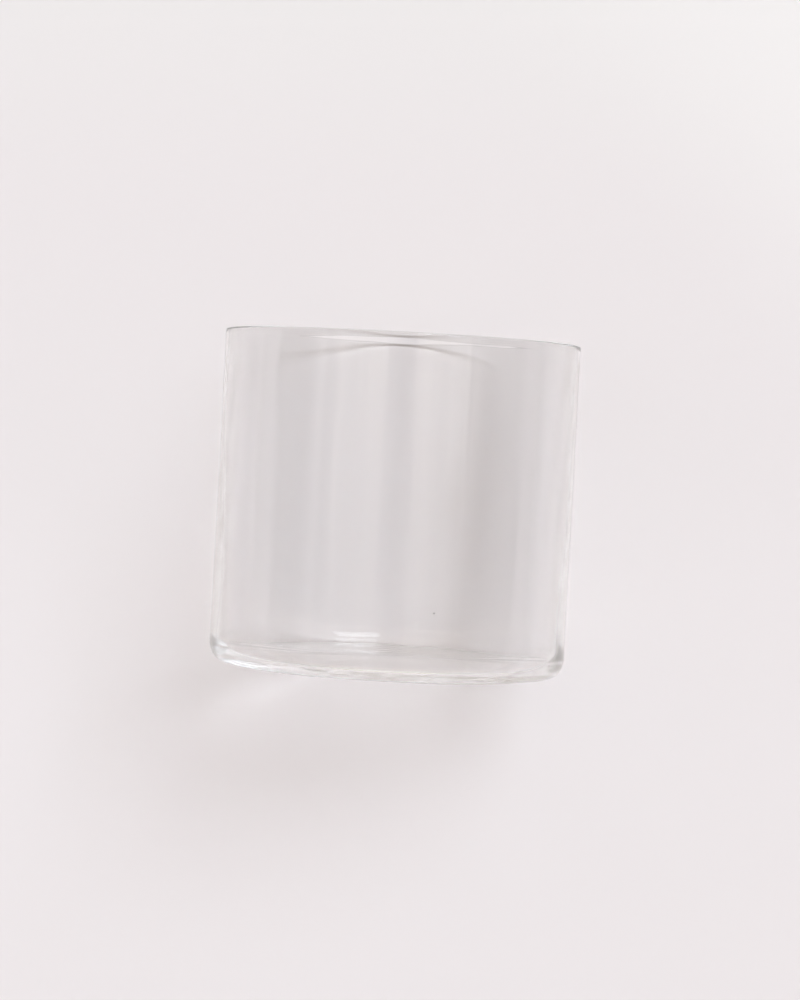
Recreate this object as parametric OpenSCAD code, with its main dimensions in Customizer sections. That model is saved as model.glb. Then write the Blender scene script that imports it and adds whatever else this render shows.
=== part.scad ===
// Straight-sided drinking tumbler of clear glass, standing upright on its foot ring.
// The origin is the centre of the foot, on the surface that the glass stands on, and +Z runs up to the lip.
// The real tumbler is one piece of glass. Its four regions are drawn one by one, and meet face to face.

/* [Body] */
// Outside diameter of the wall
body_d = 85; // [70:1:100]
// Height from the foot to the top of the lip
body_h = 79; // [60:0.5:120]
// Thickness of the glass in the wall
wall_t = 1.3; // [1:0.1:2.5]

/* [Lip] */
// Height of the fire-polished band at the top of the wall
lip_h = 2.5; // [1.5:0.1:5]

/* [Heel] */
// Outside radius of the round corner between the wall and the foot
heel_r = 4; // [2:0.5:5]
// Inside radius of the corner between the wall and the floor
fillet_r = 2.5; // [2:0.5:6]

/* [Base] */
// Thickness of the floor over the foot ring
floor_t = 2; // [1.5:0.1:6]
// Width of the flat ring that the glass stands on
foot_w = 2; // [1:0.1:4]
// Rise of the underside from the foot ring to the middle
punt_h = 0.8; // [0.3:0.1:1.2]

/* [Hidden] */
$fn = 128;

// Colour of the clear glass, with its share of opacity
glass_tint = [0.90, 0.92, 0.92, 0.45];
// How far a cutting shape runs past the glass that it cuts
overrun = 1;

// Radii of the upright surfaces, from the axis
body_r = body_d / 2;
bore_r = body_r - wall_t;
foot_out_r = body_r - heel_r;
foot_in_r = foot_out_r - foot_w;
floor_r = bore_r - fillet_r;

// Heights of the region borders and of the centre of the lip's round
fillet_top = floor_t + fillet_r;
lip_bottom = body_h - lip_h;
lip_round_r = wall_t / 2;
lip_centre = body_h - lip_round_r;

// Number of steps that draw the underside's curve
punt_steps = 16;

// Height of the underside at a radius: level at the foot ring and in the middle, with a soft slope between
function punt_rise(r) = punt_h * (1 + cos(180 * r / foot_in_r)) / 2;

// Half section of the solid glass outside, with its round heel and no lip round
module outside_section() {
    square([foot_out_r, lip_centre]);
    translate([0, heel_r])
        square([body_r, lip_centre - heel_r]);
    translate([foot_out_r, heel_r])
        circle(heel_r);
}

// Half section of the space that holds the drink
module cavity_section() {
    translate([0, floor_t])
        square([floor_r, body_h]);
    translate([0, fillet_top])
        square([bore_r, body_h]);
    translate([floor_r, fillet_top])
        circle(fillet_r);
}

// Half section of the shallow hollow under the floor, inside the foot ring
module punt_section() {
    curve = [for (i = [0:punt_steps]) let (r = foot_in_r * i / punt_steps) [r, punt_rise(r)]];
    polygon(concat(curve, [[foot_in_r, -overrun], [0, -overrun]]));
}

// Half section of the round that finishes the top of the wall
module lip_round_section() {
    translate([bore_r + lip_round_r, lip_centre])
        circle(lip_round_r);
}

// Half section of the whole glass
module glass_section() {
    difference() {
        outside_section();
        cavity_section();
        punt_section();
    }
    lip_round_section();
}

// The glass between two radii and two heights, turned round the axis
module glass_region(r_low, r_high, z_low, z_high) {
    color(glass_tint)
        rotate_extrude()
            intersection() {
                glass_section();
                translate([r_low, z_low])
                    square([r_high - r_low, z_high - z_low]);
            }
}

// Fire-polished rim that touches the mouth
module lip() {
    glass_region(0, body_r + overrun, lip_bottom, body_h + overrun);
}

// Straight tube between the lip and the inside corner
module wall() {
    glass_region(0, body_r + overrun, fillet_top, lip_bottom);
}

// Thick round corner that carries the wall, with the flat foot ring under it
module heel() {
    glass_region(foot_in_r, body_r + overrun, 0, fillet_top);
}

// Floor disc inside the foot ring, hollowed underneath so that the glass doesn't rock
module base() {
    glass_region(0, foot_in_r, 0, fillet_top);
}

lip();
wall();
heel();
base();
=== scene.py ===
# %% [markdown]
# # A clear glass tumbler, lying on a pale sheet and seen from above
#
# The tumbler is one piece of glass, so it is made as one closed skin that is round about Z.
# The frame stands it upright, as it stands on a table. In the picture it lies on its side,
# so the sheet that it lies on stands upright behind it here, and the camera looks almost level at it.

# %% Load the frame
from math import cos, degrees, radians, sin

import bpy
import numpy as np
from mathutils import Matrix, Vector


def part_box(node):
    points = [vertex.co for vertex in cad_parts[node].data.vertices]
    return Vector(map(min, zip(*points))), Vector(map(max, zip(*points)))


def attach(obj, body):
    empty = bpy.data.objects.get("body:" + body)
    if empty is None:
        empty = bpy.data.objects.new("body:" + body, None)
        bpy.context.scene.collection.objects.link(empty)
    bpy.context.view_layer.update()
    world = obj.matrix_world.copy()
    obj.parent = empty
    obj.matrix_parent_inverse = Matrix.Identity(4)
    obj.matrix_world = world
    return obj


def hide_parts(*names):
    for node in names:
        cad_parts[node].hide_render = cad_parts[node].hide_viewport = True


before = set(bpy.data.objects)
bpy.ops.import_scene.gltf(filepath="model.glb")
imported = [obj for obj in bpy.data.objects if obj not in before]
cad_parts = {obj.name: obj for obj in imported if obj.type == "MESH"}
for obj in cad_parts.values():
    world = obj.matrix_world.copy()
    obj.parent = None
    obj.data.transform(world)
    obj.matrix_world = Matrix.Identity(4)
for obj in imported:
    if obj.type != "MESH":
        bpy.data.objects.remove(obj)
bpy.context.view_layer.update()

MM = 0.001
lip_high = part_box("lip")[1]
base_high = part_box("base")[1]

# %% [markdown]
# ## Sizes
#
# The outside sizes come from the frame. What a box can't tell is named here. The wall is drawn out of
# hot glass, so it is thinnest at the lip and grows towards the foot. The corner at the foot is taller
# than it is deep, inside and out, and the floor rises a little where it meets the inside corner.

# %% Name the sizes
BODY_R = min(lip_high[0], lip_high[1])
BODY_H = lip_high[2]
FOOT_IN_R = base_high[0]
LIP_T = 1.0 * MM
WALL_LOW_T = 1.6 * MM
TAPER_POWER = 1.5
HEEL_DEEP, HEEL_TALL = 3.2 * MM, 4.8 * MM
CORNER_DEEP, CORNER_TALL = 2.2 * MM, 4.4 * MM
FLOOR_T = 2.0 * MM
FLOOR_RISE = 0.3 * MM
PUNT_H = 0.4 * MM
LIP_ROUND_R = LIP_T / 2
LIP_CENTRE = BODY_H - LIP_ROUND_R
FOOT_OUT_R = BODY_R - HEEL_DEEP
CORNER_R = BODY_R - WALL_LOW_T - CORNER_DEEP
FLOOR_EDGE = FLOOR_T + FLOOR_RISE
sizes = (BODY_R, BODY_H, FOOT_IN_R, FOOT_OUT_R)
print("wall radius, height, foot ring, mm:", [round(v / MM, 2) for v in sizes])

# %% [markdown]
# ## Camera
#
# The picture is taken from straight above the lying glass, with a short telephoto lens at about two
# thirds of a metre. In this frame that is an almost level view along +Y. The camera turns a little
# about its own view line, because the glass lies a little askew in the picture.

# %% Place the camera
IMAGE_W, IMAGE_H = 800, 1000
LENS_MM = 100
SENSOR_MM = 36
NEAREST_SEEN, FARTHEST_SEEN = 10 * MM, 10000 * MM
CAMERA_AT = Vector((1.2, -664.5, 56.2)) * MM
CAMERA_PITCH = radians(-1.375)
CAMERA_ROLL = radians(3.1)

forward = Vector((0, cos(CAMERA_PITCH), sin(CAMERA_PITCH)))
level_right = Vector((1, 0, 0))
level_up = level_right.cross(forward)
right = cos(CAMERA_ROLL) * level_right + sin(CAMERA_ROLL) * level_up
up = cos(CAMERA_ROLL) * level_up - sin(CAMERA_ROLL) * level_right

lens = bpy.data.cameras.new("camera")
lens.lens = LENS_MM
lens.sensor_width = SENSOR_MM
lens.clip_start = NEAREST_SEEN
lens.clip_end = FARTHEST_SEEN
camera = bpy.data.objects.new("camera", lens)
camera.matrix_world = Matrix((
    (right.x, up.x, -forward.x, CAMERA_AT.x),
    (right.y, up.y, -forward.y, CAMERA_AT.y),
    (right.z, up.z, -forward.z, CAMERA_AT.z),
    (0, 0, 0, 1),
))
bpy.context.scene.collection.objects.link(camera)
bpy.context.scene.camera = camera


def pixel_of(point):
    """Where a point of the frame lands in the picture: its offset from the camera, divided by its depth."""
    offset = Vector(point) - CAMERA_AT
    scale = LENS_MM / SENSOR_MM * IMAGE_H / offset.dot(forward)
    return IMAGE_W / 2 + scale * offset.dot(right), IMAGE_H / 2 - scale * offset.dot(up)


for name, z in (("lip", BODY_H), ("foot", 0)):
    print("centre of the", name, "in pixels:", [round(v, 1) for v in pixel_of((0, 0, z))])

# %% [markdown]
# ## Section of the glass
#
# A turned shape is a section carried round an axis. The section here is one line that starts at the
# axis under the floor, runs out over the hollow underside and the foot ring, up the heel and the wall,
# over the round lip, down the bore, through the inside corner, and back along the floor to the axis.
# Each stretch is an arc, a line or a smooth slope with its own number of points, so points are dense
# only where the glass bends.

# %% Draw the section
UNDER_POINTS, RING_POINTS, HEEL_POINTS, WALL_POINTS = 24, 6, 24, 48
LIP_POINTS, CORNER_POINTS, FLOOR_POINTS = 16, 24, 20


def arc(count, centre, half_axes, start_deg, end_deg):
    """Points of a round corner: centre plus half axes times (cosine, sine) of an angle from start to end."""
    turned = np.radians(start_deg + (end_deg - start_deg) * np.arange(count) / count)
    return np.array(centre) + np.array(half_axes) * np.stack([np.cos(turned), np.sin(turned)], axis=1)


def line(count, start, end):
    """Points of a straight stretch, from start up to, but not at, end."""
    share = np.arange(count)[:, None] / count
    return (1 - share) * np.array(start) + share * np.array(end)


share = np.arange(1, UNDER_POINTS) / UNDER_POINTS
underside = np.stack([FOOT_IN_R * share, PUNT_H * (1 + np.cos(np.pi * share)) / 2], axis=1)
foot_ring = line(RING_POINTS, (FOOT_IN_R, 0), (FOOT_OUT_R, 0))
heel = arc(HEEL_POINTS, (FOOT_OUT_R, HEEL_TALL), (HEEL_DEEP, HEEL_TALL), -90, 0)
outside = line(WALL_POINTS, (BODY_R, HEEL_TALL), (BODY_R, LIP_CENTRE))
lip = arc(LIP_POINTS, (BODY_R - LIP_ROUND_R, LIP_CENTRE), (LIP_ROUND_R, LIP_ROUND_R), 0, 180)
inside = line(WALL_POINTS, (BODY_R - LIP_T, LIP_CENTRE), (BODY_R - LIP_T, FLOOR_EDGE + CORNER_TALL))
inside[:, 0] -= (WALL_LOW_T - LIP_T) * (np.arange(WALL_POINTS) / WALL_POINTS) ** TAPER_POWER
corner = arc(CORNER_POINTS, (CORNER_R, FLOOR_EDGE + CORNER_TALL), (CORNER_DEEP, CORNER_TALL), 0, -90)
floor = line(FLOOR_POINTS, (CORNER_R, FLOOR_T), (0, FLOOR_T))
floor[:, 1] += FLOOR_RISE * (floor[:, 0] / CORNER_R) ** 2
stretches = [underside, foot_ring, heel, outside, lip, inside, corner, floor]
section = np.concatenate(stretches)
print("section points:", [len(stretch) for stretch in stretches])

# %% [markdown]
# ## Unevenness of drawn glass
#
# Drawn glass is never quite even. Its inside has long soft ribs, called cords, that lean and wander a
# little on their way up. Its outside swells slowly, and its foot ring and floor have slow dips. They
# are far too small to measure by eye, but they bend what is seen in the glass. Each is a sum of a few
# waves, given by size, turns, rise and start. They could be a bump in the material, but a bump bends
# only the light, not the outline, and not the thickness.

# %% Waves
CORDS = (
    (0.042 * MM, 7, 25, 3.5),
    (0.024 * MM, 13, -60, 5.1),
    (0.011 * MM, 22, 110, 1.0),
    (0.004 * MM, 37, -160, 4.2),
)
SWELLS = (
    (0.045 * MM, 2, 30, 1.0),
    (0.020 * MM, 5, 75, 3.0),
)
DIPS = (
    (0.050 * MM, 3, 90, 0.2),
    (0.016 * MM, 8, 200, 2.6),
    (0.003 * MM, 17, 700, 5.0),
)


def waves(angle, place, parts):
    """A sum of waves: each is its size times the cosine of (turns x angle + rise x place + start)."""
    return sum(size * np.cos(turns * angle + rise * place + start) for size, turns, rise, start in parts)


def top_of(parts):
    """The most that a sum of waves can reach."""
    return sum(size for size, _, _, _ in parts)


for name, parts in (("cords", CORDS), ("swells", SWELLS), ("dips", DIPS)):
    print(name, "reach at most, mm:", round(top_of(parts) / MM, 3))

# %% [markdown]
# ## Turned grid
#
# The section is turned into a grid, with one row for each of its points and one column for each turn.
# The cords act on the bore, the swells on the whole body, and the dips on the floor and the foot, the
# floor much less than the foot. Each fades out along the round corners or towards the axis, so that no
# step shows, and the lip keeps its round. The swells only go inwards and the dips of the foot only
# upwards, so the glass stays inside its box and stands on the few spots that have no dip.

# %% Turn the section and add the waves
TURNS = 384
FADE_POINTS = 6
FLOOR_SHARE = 0.15
FOOT_TURNS = 2


def weights(*values):
    """One weight for each point of the section, from a number or an array for each of its stretches."""
    spread = [np.broadcast_to(value, len(stretch)) for value, stretch in zip(values, stretches)]
    return np.concatenate(spread)[:, None]


angle = np.arange(TURNS) * 2 * np.pi / TURNS
radius = np.repeat(section[:, :1], TURNS, axis=1)
height = np.repeat(section[:, 1:], TURNS, axis=1)
rise = np.linspace(0, 1, CORNER_POINTS)
fade = np.clip(np.arange(WALL_POINTS) / FADE_POINTS, 0, 1)
inwards = 1 - np.arange(FLOOR_POINTS) / FLOOR_POINTS
on_bore = weights(0, 0, 0, 0, 0, fade, 1 - rise, 0)
on_outside = weights(0, 0, rise, 1, 1, 1, 1 - rise, 0)
on_floor = weights(0, 0, 0, 0, 0, 0, rise, inwards)
on_foot = weights(np.linspace(0, 1, len(underside)), 1, 1 - rise, 0, 0, 0, 0, 0)
bore_waves = waves(angle, height, CORDS)
body_waves = waves(angle, height, SWELLS) - top_of(SWELLS)
floor_waves = FLOOR_SHARE * waves(angle, radius, DIPS)
foot_waves = waves(FOOT_TURNS * angle, radius, DIPS) + top_of(DIPS)
radius += on_bore * bore_waves + on_outside * body_waves
height += on_floor * floor_waves + on_foot * foot_waves
rings = np.stack([radius * np.cos(angle), radius * np.sin(angle), height], axis=-1)
for name, made in (("cords", bore_waves), ("swells", body_waves), ("foot dips", foot_waves)):
    print(name, "from top to bottom, mm:", round(float(np.ptp(made)) / MM, 3))

# %% [markdown]
# ## Skin
#
# The rows of the grid are rings round the axis. Four-sided faces join each ring to the next, and a fan
# of triangles closes the first and the last ring at the axis, so the skin has no hole and no seam. A
# Screw modifier could turn the section too, but it couldn't add waves that change on their way round.

# %% Make the skin
def skin_mesh(name, rings):
    """A closed skin from rings of points, shaped (rings, turns, 3), with its two ends closed at the axis."""
    count, turns = rings.shape[:2]
    poles = np.array([[0, 0, rings[0, :, 2].mean()], [0, 0, rings[-1, :, 2].mean()]])
    points = np.concatenate([rings.reshape(-1, 3), poles])
    turn = np.arange(turns)
    after = (turn + 1) % turns
    here = np.arange(count - 1)[:, None] * turns
    quads = np.stack([here + turn, here + after, here + turns + after, here + turns + turn], axis=-1)
    last = (count - 1) * turns
    first_fan = np.stack([after, turn, np.full(turns, count * turns)], axis=-1)
    last_fan = np.stack([last + turn, last + after, np.full(turns, count * turns + 1)], axis=-1)
    faces = quads.reshape(-1, 4).tolist() + first_fan.tolist() + last_fan.tolist()
    mesh = bpy.data.meshes.new(name)
    mesh.from_pydata(points.tolist(), [], faces)
    mesh.shade_smooth()
    return mesh


tumbler = bpy.data.objects.new("tumbler", skin_mesh("tumbler", rings))
bpy.context.scene.collection.objects.link(tumbler)
print("triangles:", sum(len(polygon.vertices) - 2 for polygon in tumbler.data.polygons))

# %% [markdown]
# ## Shader helpers
#
# These make one node each, so that a material reads as a list of what it does.

# %% Helpers for shader nodes
def node(tree, kind, **settings):
    """A new node of a tree, with its settings by name."""
    made = tree.nodes.new(kind)
    for key, value in settings.items():
        setattr(made, key, value)
    return made


def fill(tree, socket, value):
    """Gives an input a number or a colour, or links another node's output to it."""
    if isinstance(value, bpy.types.NodeSocket):
        tree.links.new(value, socket)
    else:
        socket.default_value = value


def math(tree, operation, *values):
    """The output of a Math node on up to three values."""
    made = node(tree, "ShaderNodeMath", operation=operation)
    for socket, value in zip(made.inputs, values):
        fill(tree, socket, value)
    return made.outputs[0]


def edge(tree, value, centre, soft, rising=True):
    """A mask that goes from 0 to 1, or back, over a soft band round a centre value."""
    made = node(tree, "ShaderNodeMapRange", interpolation_type="SMOOTHSTEP")
    made.inputs["From Min"].default_value = centre - soft / 2
    made.inputs["From Max"].default_value = centre + soft / 2
    made.inputs["To Min"].default_value = 0.0 if rising else 1.0
    made.inputs["To Max"].default_value = 1.0 if rising else 0.0
    fill(tree, made.inputs["Value"], value)
    return made.outputs["Result"]


def bell(tree, value, centre, spread):
    """A soft hill of height 1: e to the power of minus half the square of (value - centre) / spread."""
    offset = math(tree, "DIVIDE", math(tree, "SUBTRACT", value, centre), spread)
    return math(tree, "EXPONENT", math(tree, "MULTIPLY", math(tree, "MULTIPLY", offset, offset), -0.5))


def blend(tree, share, first, second):
    """A colour between two others, by a share."""
    made = node(tree, "ShaderNodeMix", data_type="RGBA")
    fill(tree, made.inputs["Factor"], share)
    fill(tree, made.inputs["A"], first)
    fill(tree, made.inputs["B"], second)
    return made.outputs["Result"]


def noise(tree, place, scale):
    """Soft noise round 0.5 in object coordinates, with a scale in waves per metre."""
    made = node(tree, "ShaderNodeTexNoise")
    fill(tree, made.inputs["Vector"], place)
    made.inputs["Scale"].default_value = scale
    return made.outputs["Fac"]


# %% [markdown]
# ## Clear glass
#
# Glass is one Principled shader with full transmission. Its look comes from what it bends and mirrors,
# so it stays quite smooth. Its tint acts once at each surface that light crosses, so it stands for all
# the light that real glass loses on its way. Three small things make it real: the foot ring is rubbed
# a little matt in patches where it stands, the skin has a faint wave finer than the cords, and one
# seed, a tiny bubble, shows as a dark speck.

# %% Clear glass
GLASS_IOR = 1.47
GLASS_TINT = (0.952, 0.950, 0.947, 1)
RUB_TOP = 0.12 * MM
RUB_ROUGHNESS = 0.10
RUB_SCALE = 900
RUB_MIDDLE, RUB_SOFT = 0.5, 0.15
SKIN_WAVE_SCALE = 60
SKIN_WAVE_DEPTH = 0.004 * MM
SEED_AT = Vector((10.2, -41.2, 16.2)) * MM
SEED_R = 0.20 * MM
SEED_TINT = (0.3, 0.29, 0.27, 1)


def clear_glass():
    """Borosilicate glass: clear, smooth and almost colourless."""
    material = bpy.data.materials.new("clear_glass")
    material.use_nodes = True
    tree = material.node_tree
    shader = tree.nodes["Principled BSDF"]
    shader.inputs["IOR"].default_value = GLASS_IOR
    shader.inputs["Transmission Weight"].default_value = 1.0
    place = node(tree, "ShaderNodeTexCoord").outputs["Object"]
    split = node(tree, "ShaderNodeSeparateXYZ")
    fill(tree, split.inputs[0], place)
    low = edge(tree, split.outputs["Z"], RUB_TOP, RUB_TOP, False)
    patches = edge(tree, noise(tree, place, RUB_SCALE), RUB_MIDDLE, RUB_SOFT)
    rubbed = math(tree, "MULTIPLY", math(tree, "MULTIPLY", low, patches), RUB_ROUGHNESS)
    fill(tree, shader.inputs["Roughness"], rubbed)
    away = node(tree, "ShaderNodeVectorMath", operation="DISTANCE")
    fill(tree, away.inputs[0], place)
    away.inputs[1].default_value = SEED_AT
    seed = edge(tree, away.outputs["Value"], SEED_R, SEED_R, False)
    fill(tree, shader.inputs["Base Color"], blend(tree, seed, GLASS_TINT, SEED_TINT))
    bump = node(tree, "ShaderNodeBump")
    fill(tree, bump.inputs["Height"], noise(tree, place, SKIN_WAVE_SCALE))
    bump.inputs["Distance"].default_value = SKIN_WAVE_DEPTH
    fill(tree, shader.inputs["Normal"], bump.outputs["Normal"])
    return material


tumbler.data.materials.append(clear_glass())
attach(tumbler, "root")
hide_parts("lip", "wall", "heel", "base")
print("the seed is at pixel:", [round(v, 1) for v in pixel_of(SEED_AT)])

# %% [markdown]
# ## Pale sheet
#
# The sheet is a matt, pale, slightly warm surface that touches the wall along one line. Light is painted
# into its colour: it grows a little paler towards the top and the top right, where more light falls. Far
# outside the picture shade is painted into it on both sides, because the glass looks sideways along it
# there, and a real table ends in a darker room. Only its face shows, so that it doesn't hide the glass
# in a view from behind.

# %% Pale sheet
SHEET_LEFT, SHEET_RIGHT = -400 * MM, 450 * MM
SHEET_HALF_H = 500 * MM
SHEET_GAP = 0.02 * MM
SHEET_COLOUR = (0.851, 0.808, 0.819, 1)
# Painted light: the sheet is painted paler towards the top, and paler still towards the top right corner.
PAINTED_LIGHT_TOP_COLOUR = (0.866, 0.846, 0.843, 1)
PAINTED_LIGHT_CORNER_COLOUR = (0.910, 0.886, 0.886, 1)
# Painted shade: far outside the picture the sheet is painted nearly black to the right and grey to the left.
SHADE_COLOUR = (0.100, 0.100, 0.100, 1)
LEFT_SHADE_COLOUR = (0.560, 0.535, 0.540, 1)
TOP_FROM, TOP_SOFT = 150 * MM, 90 * MM
CORNER_FROM, CORNER_SOFT = 220 * MM, 110 * MM
SHADE_FROM, SHADE_SOFT = 250 * MM, 280 * MM
LEFT_SHADE_FROM, LEFT_SHADE_SOFT = -160 * MM, 100 * MM


def pale_sheet():
    """Matt off-white with painted light and painted shade, that lets the view through from behind."""
    material = bpy.data.materials.new("pale_sheet")
    material.use_nodes = True
    tree = material.node_tree
    shader = tree.nodes["Principled BSDF"]
    shader.inputs["Roughness"].default_value = 1.0
    shader.inputs["Specular IOR Level"].default_value = 0.0
    split = node(tree, "ShaderNodeSeparateXYZ")
    fill(tree, split.inputs[0], node(tree, "ShaderNodeTexCoord").outputs["Object"])
    x_part, _, z_part = split.outputs
    # Painted light: paler towards the top and the top right corner.
    painted_light_top = edge(tree, z_part, TOP_FROM, TOP_SOFT)
    painted_light_corner = edge(tree, math(tree, "ADD", x_part, z_part), CORNER_FROM, CORNER_SOFT)
    in_shade = edge(tree, x_part, SHADE_FROM, SHADE_SOFT)
    # Painted shade far to the left.
    left_shade = edge(tree, x_part, LEFT_SHADE_FROM, LEFT_SHADE_SOFT, False)
    colour = blend(tree, painted_light_top, SHEET_COLOUR, PAINTED_LIGHT_TOP_COLOUR)
    colour = blend(tree, painted_light_corner, colour, PAINTED_LIGHT_CORNER_COLOUR)
    colour = blend(tree, left_shade, colour, LEFT_SHADE_COLOUR)
    fill(tree, shader.inputs["Base Color"], blend(tree, in_shade, colour, SHADE_COLOUR))
    clear = node(tree, "ShaderNodeBsdfTransparent")
    mix = node(tree, "ShaderNodeMixShader")
    fill(tree, mix.inputs["Fac"], node(tree, "ShaderNodeNewGeometry").outputs["Backfacing"])
    fill(tree, mix.inputs[1], shader.outputs["BSDF"])
    fill(tree, mix.inputs[2], clear.outputs["BSDF"])
    fill(tree, tree.nodes["Material Output"].inputs["Surface"], mix.outputs["Shader"])
    return material


sheet_y = float(rings[..., 1].max()) + SHEET_GAP
sheet_ends = (
    (SHEET_LEFT, -SHEET_HALF_H),
    (SHEET_RIGHT, -SHEET_HALF_H),
    (SHEET_RIGHT, SHEET_HALF_H),
    (SHEET_LEFT, SHEET_HALF_H),
)
sheet_mesh = bpy.data.meshes.new("sheet")
sheet_mesh.from_pydata([(x, sheet_y, z) for x, z in sheet_ends], [], [(0, 1, 2, 3)])
sheet = bpy.data.objects.new("sheet", sheet_mesh)
bpy.context.scene.collection.objects.link(sheet)
sheet_mesh.materials.append(pale_sheet())
print("sheet at y, mm:", round(sheet_y / MM, 3), "normal", tuple(sheet_mesh.polygons[0].normal))

# %% [markdown]
# ## Light
#
# Clear glass has no look of its own. It shows the room that it stands in, bent by what it lets through
# and dimmed in what it mirrors. So the room is painted in the world, by direction, in soft plain
# patches. A lamp would be simpler, but its mirror image would be a hard white spot in every curve of
# the glass. These helpers put the patches together.

# %% Helpers for the room
def times(tree, *values):
    """The product of two or more values."""
    total = values[0]
    for value in values[1:]:
        total = math(tree, "MULTIPLY", total, value)
    return total


def box(tree, value, low, high, soft):
    """A mask that is 1 between two values, with soft ends."""
    return times(tree, edge(tree, value, low, soft), edge(tree, value, high, soft, False))


def tinted(tree, value, colour):
    """A colour scaled by a node's output."""
    made = node(tree, "ShaderNodeVectorMath", operation="SCALE")
    made.inputs[0].default_value = colour
    fill(tree, made.inputs["Scale"], value)
    return made.outputs[0]


def added(tree, first, second):
    """The sum of two colours."""
    made = node(tree, "ShaderNodeVectorMath", operation="ADD")
    fill(tree, made.inputs[0], first)
    fill(tree, made.inputs[1], second)
    return made.outputs[0]


# %% [markdown]
# ## Directions
#
# A direction of the room is given by two angles, as on a globe. The azimuth is 0 towards the camera and
# grows to its right, the elevation is 0 at level height, and both are in degrees.

# %% World by direction
LEVEL_HEIGHT = 0.0

world = bpy.data.worlds.new("room")
bpy.context.scene.world = world
world.use_nodes = True
tree = world.node_tree
path = node(tree, "ShaderNodeLightPath")
split = node(tree, "ShaderNodeSeparateXYZ")
fill(tree, split.inputs[0], node(tree, "ShaderNodeTexCoord").outputs["Generated"])
x_part, y_part, z_part = split.outputs
azimuth = times(tree, math(tree, "ARCTAN2", x_part, times(tree, y_part, -1.0)), degrees(1))
elevation = times(tree, math(tree, "ARCSINE", z_part), degrees(1))
print("nodes in the world so far:", len(tree.nodes))

# %% [markdown]
# ## Window
#
# A cool window is high on the right of the camera. It lights the sheet, throws the shadow, and shows as
# the pale marks over the foot. Its direct mirror image in the glass is dimmed, to match those marks.
# Light Path counts the bounces of the light that arrives, and fewer than half a bounce means none.

# %% Window
WINDOW = 8.6
WINDOW_COLOUR = (0.925, 1.006, 1.094)
WINDOW_LEFT, WINDOW_RIGHT = 8.4, 41.1
WINDOW_LOW, WINDOW_HIGH = 21.1, 44.3
WINDOW_SOFT = 4.0
WINDOW_IN_MIRROR = 0.55
HALF_BOUNCE = 0.5

pane = times(
    tree,
    box(tree, azimuth, WINDOW_LEFT, WINDOW_RIGHT, WINDOW_SOFT),
    box(tree, elevation, WINDOW_LOW, WINDOW_HIGH, WINDOW_SOFT),
)
no_matt = math(tree, "LESS_THAN", path.outputs["Diffuse Depth"], HALF_BOUNCE)
glossy = math(tree, "GREATER_THAN", path.outputs["Glossy Depth"], HALF_BOUNCE)
in_mirror = times(tree, no_matt, glossy)
mirrored = math(tree, "MULTIPLY_ADD", in_mirror, WINDOW_IN_MIRROR - 1, 1.0)
window = times(tree, pane, mirrored, WINDOW)
pane_size = (WINDOW_RIGHT - WINDOW_LEFT, WINDOW_HIGH - WINDOW_LOW)
print("window, degrees wide and high:", [round(v, 1) for v in pane_size])

# %% [markdown]
# ## Room
#
# A wide warm halo is on the window's left, where its light falls on the room's wall. The rest of the
# room is dark. It is paler well below level height, darkest just under it, and a dark spot is in front,
# where the camera is.

# %% Room and halo
HALO = 0.92
HALO_AZIMUTH, HALO_ELEVATION = -20.0, 37.3
HALO_WIDE, HALO_TALL = 35.2, 20.6
ROOM = 0.15
ROOM_BELOW = 0.79
BELOW_ELEVATION, BELOW_SOFT = -25.0, 20.0
ROOM_COLOUR = (1.070, 1.011, 0.933)
DIM_SHARE = 0.5
DIM_ELEVATION, DIM_TALL = -3.3, 7.7
SPOT_AZIMUTH, SPOT_WIDE, SPOT_TALL = 4.0, 6.0, 9.0

halo_wide = bell(tree, azimuth, HALO_AZIMUTH, HALO_WIDE)
halo = times(tree, halo_wide, bell(tree, elevation, HALO_ELEVATION, HALO_TALL), HALO)
below = edge(tree, elevation, BELOW_ELEVATION, BELOW_SOFT, False)
even = math(tree, "MULTIPLY_ADD", below, ROOM_BELOW, ROOM)
dim = math(tree, "MULTIPLY_ADD", bell(tree, elevation, DIM_ELEVATION, DIM_TALL), -DIM_SHARE, 1.0)
spot_wide = bell(tree, azimuth, SPOT_AZIMUTH, SPOT_WIDE)
spot = times(tree, spot_wide, bell(tree, elevation, LEVEL_HEIGHT, SPOT_TALL))
room = times(tree, math(tree, "ADD", times(tree, even, dim), halo), math(tree, "SUBTRACT", 1.0, spot))
print("window is", round(WINDOW / HALO, 1), "times as bright as the halo")

# %% [markdown]
# ## Bands of pale things
#
# At level height, a narrow band of pale things stands in front on the left, stops at the camera, goes on
# to its right and stops again, and a weaker one stands far on the left. The upright wall mirrors these
# bands, and that makes its streaks. Slow noise along the azimuth makes the things uneven.

# %% Bands
BAND_ELEVATION, BAND_TALL = 3.5, 6.0
BAND_COLOUR = (0.970, 0.940, 0.930)
LEFT_BAND, LEFT_FROM, LEFT_TO, LEFT_SOFT = 0.85, -58.0, -2.0, 10.0
RIGHT_BAND, RIGHT_FROM, RIGHT_TO, RIGHT_SOFT = 0.8, 10.0, 45.0, 3.0
THINGS_PER_DEGREE = 0.09
THINGS_MIDDLE, THINGS_SOFT = 0.5, 0.2
THINGS_SHARE = 0.45
SIDE_BAND, SIDE_FROM, SIDE_TO, SIDE_SOFT = 0.25, -145.0, -80.0, 30.0
SIDE_TALL = 20.0

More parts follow.
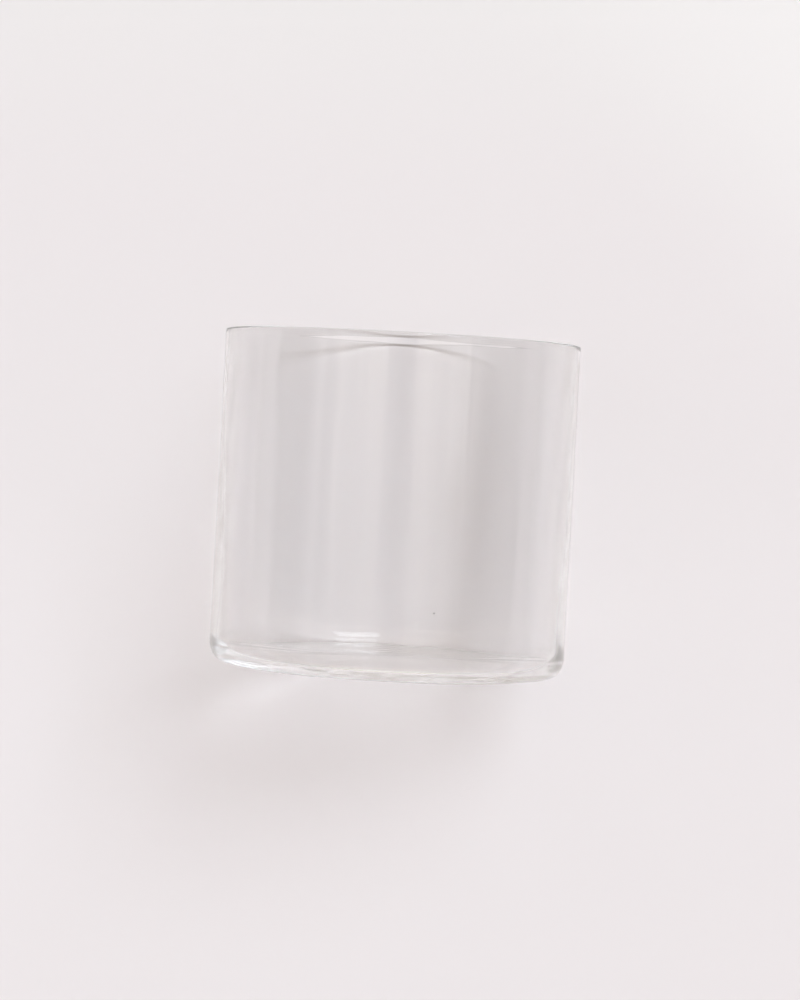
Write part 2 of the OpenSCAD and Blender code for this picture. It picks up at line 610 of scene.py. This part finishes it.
left_band = times(tree, box(tree, azimuth, LEFT_FROM, LEFT_TO, LEFT_SOFT), LEFT_BAND)
right_band = times(tree, box(tree, azimuth, RIGHT_FROM, RIGHT_TO, RIGHT_SOFT), RIGHT_BAND)
level = bell(tree, elevation, BAND_ELEVATION, BAND_TALL)
things = node(tree, "ShaderNodeTexNoise", noise_dimensions="1D")
fill(tree, things.inputs["W"], azimuth)
things.inputs["Scale"].default_value = THINGS_PER_DEGREE
pale = edge(tree, things.outputs["Fac"], THINGS_MIDDLE, THINGS_SOFT)
uneven = math(tree, "MULTIPLY_ADD", pale, THINGS_SHARE, 1 - THINGS_SHARE / 2)
front = times(tree, math(tree, "ADD", left_band, right_band), level, uneven)
side_wide = times(tree, box(tree, azimuth, SIDE_FROM, SIDE_TO, SIDE_SOFT), SIDE_BAND)
side = times(tree, side_wide, bell(tree, elevation, LEVEL_HEIGHT, SIDE_TALL))
band = math(tree, "ADD", front, side)
print("gap between the front bands, degrees:", RIGHT_FROM - LEFT_TO)

# %% [markdown]
# ## Backdrop
#
# The room lights the sheet and shows in the glass's mirror images. A camera that looks past the sheet,
# also through the glass, sees a plain pale backdrop instead. Light Path tells the two apart, by whether
# the light has met a matt or a mirroring surface on its way.

# %% Backdrop
BACKDROP = (0.838, 0.799, 0.815, 1)

cool = added(tree, tinted(tree, window, WINDOW_COLOUR), tinted(tree, band, BAND_COLOUR))
room_light = added(tree, tinted(tree, room, ROOM_COLOUR), cool)
bounced = math(tree, "ADD", path.outputs["Diffuse Depth"], path.outputs["Glossy Depth"])
seen_straight = math(tree, "LESS_THAN", bounced, HALF_BOUNCE)
background = tree.nodes["Background"]
fill(tree, background.inputs["Color"], blend(tree, seen_straight, room_light, BACKDROP))
print("nodes that paint the room:", len(tree.nodes))

# %% [markdown]
# ## Settings that clear glass needs
#
# Light that enters the thick foot runs round in it like light in a fibre, and a path that reaches the
# limit of bounces ends black. So the limit is far above what other materials need. Caustics are the
# light that the glass gathers on the sheet, and without them its shadow would be too dark.

# %% Renderer settings
BOUNCES = 96
scene = bpy.context.scene
scene.view_settings.view_transform = "Standard"
cycles = scene.cycles
cycles.max_bounces = BOUNCES
cycles.transmission_bounces = BOUNCES
cycles.glossy_bounces = BOUNCES
cycles.caustics_refractive = True
cycles.caustics_reflective = True
cycles.blur_glossy = 0.0
cycles.use_denoising = True
